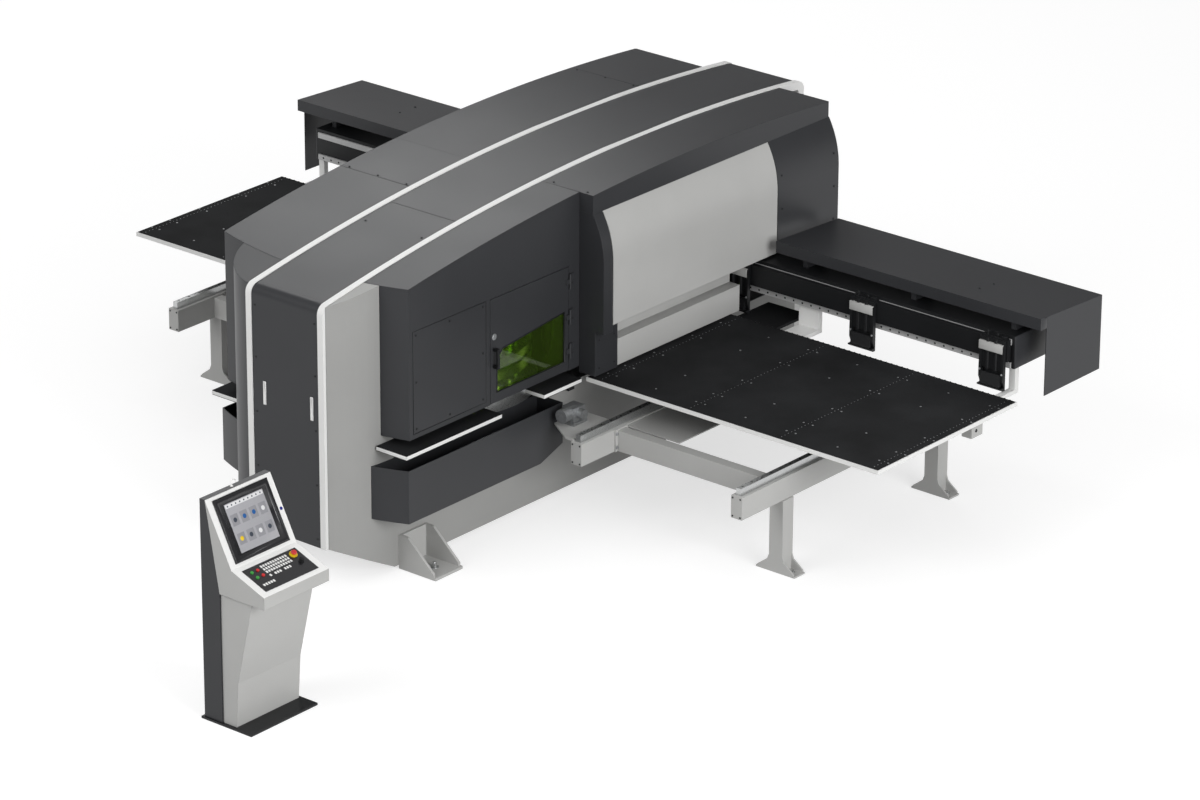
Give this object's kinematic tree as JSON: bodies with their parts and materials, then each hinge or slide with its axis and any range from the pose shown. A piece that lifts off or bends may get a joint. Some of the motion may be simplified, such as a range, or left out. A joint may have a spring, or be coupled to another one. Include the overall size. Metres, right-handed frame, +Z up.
{
  "type": "punch laser combination machine",
  "caption": "Sheet metal machine with a curved bridge over a turret punch and laser head, moving brush tables, clamp carriage and a free-standing operator console.",
  "frame": {"origin": "Floor level at the centre of the four floor anchors of the machine's bed.", "axes": "+Z up; -Y the nose that faces forward; +X the side with the access door and the console."},
  "size_m": [6.66, 6.861, 2.263],
  "materials": {
    "charcoal_paint": "satin charcoal paint",
    "silver_paint": "light grey paint",
    "white_paint": "white paint",
    "black_paint": "black paint",
    "black_brush": "black brush table",
    "bright_steel": "ground steel",
    "motor_alloy": "cast aluminium",
    "laser_glass": "green laser safety pane",
    "screen_black": "black screen and keypad",
    "stop_yellow": "yellow collar",
    "stop_red": "red push button",
    "go_green": "green push button"
  },
  "bodies": {
    "machine": {"nose_panel": "charcoal_paint", "spine_cover": "charcoal_paint", "hood_right": "charcoal_paint", "hood_left": "charcoal_paint", "service_panel": "charcoal_paint", "roof_right": "charcoal_paint", "roof_left": "charcoal_paint", "cheeks": "charcoal_paint", "rear_panels": "charcoal_paint", "back_wall": "charcoal_paint", "guard_housings": "charcoal_paint", "catch_bins": "charcoal_paint", "console_column": "charcoal_paint", "bed_frame": "silver_paint", "bridge_frame": "silver_paint", "floor_feet": "silver_paint", "spine_flanks": "silver_paint", "side_panels": "silver_paint", "throat_guards": "silver_paint", "table_beams": "silver_paint", "table_stand": "silver_paint", "console_body": "silver_paint", "edge_strips": "white_paint", "console_desk": "white_paint", "door_hinges": "black_paint", "console_base": "black_paint", "fixed_tables": "black_brush", "head_bearings": "bright_steel", "laser_bracket": "bright_steel", "table_rails": "bright_steel", "drive_motor": "motor_alloy", "console_screen": "screen_black", "console_keypad": "screen_black", "estop_collar": "stop_yellow"},
    "door": {"access_door": "charcoal_paint", "door_window": "laser_glass", "door_pull": "black_paint"},
    "turret_top": {"upper_turret": "bright_steel"},
    "turret_bottom": {"lower_turret": "bright_steel"},
    "ram": {"ram": "bright_steel"},
    "laser": {"laser_head": "black_paint"},
    "y_carriage": {"crossbeam": "black_paint", "crossbeam_rails": "bright_steel", "crossbeam_covers": "charcoal_paint", "side_tables": "black_brush", "table_frames": "white_paint", "bearing_blocks": "black_paint", "stop_box": "silver_paint"},
    "x_carriage": {"clamp_carriage": "black_paint", "clamp_bodies": "black_paint"},
    "jaw_1": {"clamp_jaw_1": "bright_steel"},
    "jaw_2": {"clamp_jaw_2": "bright_steel"},
    "jaw_3": {"clamp_jaw_3": "bright_steel"},
    "desk_stop": {"console_estop": "stop_red"},
    "start": {"start_button": "go_green"},
    "resume": {"resume_button": "go_green"},
    "hold": {"hold_button": "stop_red"},
    "halt": {"halt_button": "stop_red"},
    "knob": {"feed_knob": "black_paint"},
    "table_stop": {"table_estop": "stop_red"}
  },
  "joints": [
    {"name": "y_axis", "type": "slide", "parent": "machine", "child": "y_carriage", "axis": [0, 1, 0], "range_m": [-1.365, 0], "deforming": ["throat_guards"]},
    {"name": "x_axis", "type": "slide", "parent": "y_carriage", "child": "x_carriage", "axis": [1, 0, 0], "range_m": [-3.05, 0]},
    {"name": "clamp_1", "type": "hinge", "parent": "x_carriage", "child": "jaw_1", "pos_m": [0.84, 1.2277, 1.005], "axis": [-1, 0, 0], "range_deg": [0, 18]},
    {"name": "clamp_2", "type": "hinge", "parent": "x_carriage", "child": "jaw_2", "pos_m": [1.92, 1.2277, 1.005], "axis": [-1, 0, 0], "range_deg": [0, 18]},
    {"name": "clamp_3", "type": "hinge", "parent": "x_carriage", "child": "jaw_3", "pos_m": [3, 1.2277, 1.005], "axis": [-1, 0, 0], "range_deg": [0, 18]},
    {"name": "turret_top_spin", "type": "hinge", "parent": "machine", "child": "turret_top", "pos_m": [0, -0.89, 1.4], "axis": [0, 0, 1], "continuous": true},
    {"name": "turret_bottom_spin", "type": "hinge", "parent": "machine", "child": "turret_bottom", "pos_m": [0, -0.89, 0.8], "axis": [0, 0, 1], "continuous": true},
    {"name": "ram_stroke", "type": "slide", "parent": "machine", "child": "ram", "axis": [0, 0, -1], "range_m": [0, 0.037]},
    {"name": "laser_focus", "type": "slide", "parent": "machine", "child": "laser", "axis": [0, 0, -1], "range_m": [0, 0.045]},
    {"name": "door_swing", "type": "hinge", "parent": "machine", "child": "door", "pos_m": [0.809, -0.514, 1.36], "axis": [0, 0, 1], "range_deg": [0, 105]},
    {"name": "desk_stop_press", "type": "slide", "parent": "machine", "child": "desk_stop", "axis": [0.3587, 0, 0.9334], "range_m": [-0.004, 0], "stiffness_N_per_m": 2000, "springref_m": 0.001},
    {"name": "start_press", "type": "slide", "parent": "machine", "child": "start", "axis": [0.3587, 0, 0.9334], "range_m": [-0.004, 0], "stiffness_N_per_m": 2000, "springref_m": 0.001},
    {"name": "resume_press", "type": "slide", "parent": "machine", "child": "resume", "axis": [0.3587, 0, 0.9334], "range_m": [-0.004, 0], "stiffness_N_per_m": 2000, "springref_m": 0.001},
    {"name": "hold_press", "type": "slide", "parent": "machine", "child": "hold", "axis": [0.3587, 0, 0.9334], "range_m": [-0.004, 0], "stiffness_N_per_m": 2000, "springref_m": 0.001},
    {"name": "halt_press", "type": "slide", "parent": "machine", "child": "halt", "axis": [0.3587, 0, 0.9334], "range_m": [-0.004, 0], "stiffness_N_per_m": 2000, "springref_m": 0.001},
    {"name": "feed_knob_turn", "type": "hinge", "parent": "machine", "child": "knob", "pos_m": [1.58688, -3.982, 1.01547], "axis": [0.3587, 0, 0.9334], "range_deg": [-150, 150]},
    {"name": "table_stop_press", "type": "slide", "parent": "y_carriage", "child": "table_stop", "axis": [0, 1, 0], "range_m": [-0.004, 0], "stiffness_N_per_m": 2000, "springref_m": 0.001}
  ],
  "couplings": [
    {"joint": "turret_bottom_spin", "follows": "turret_top_spin", "ratio": 1}
  ]
}
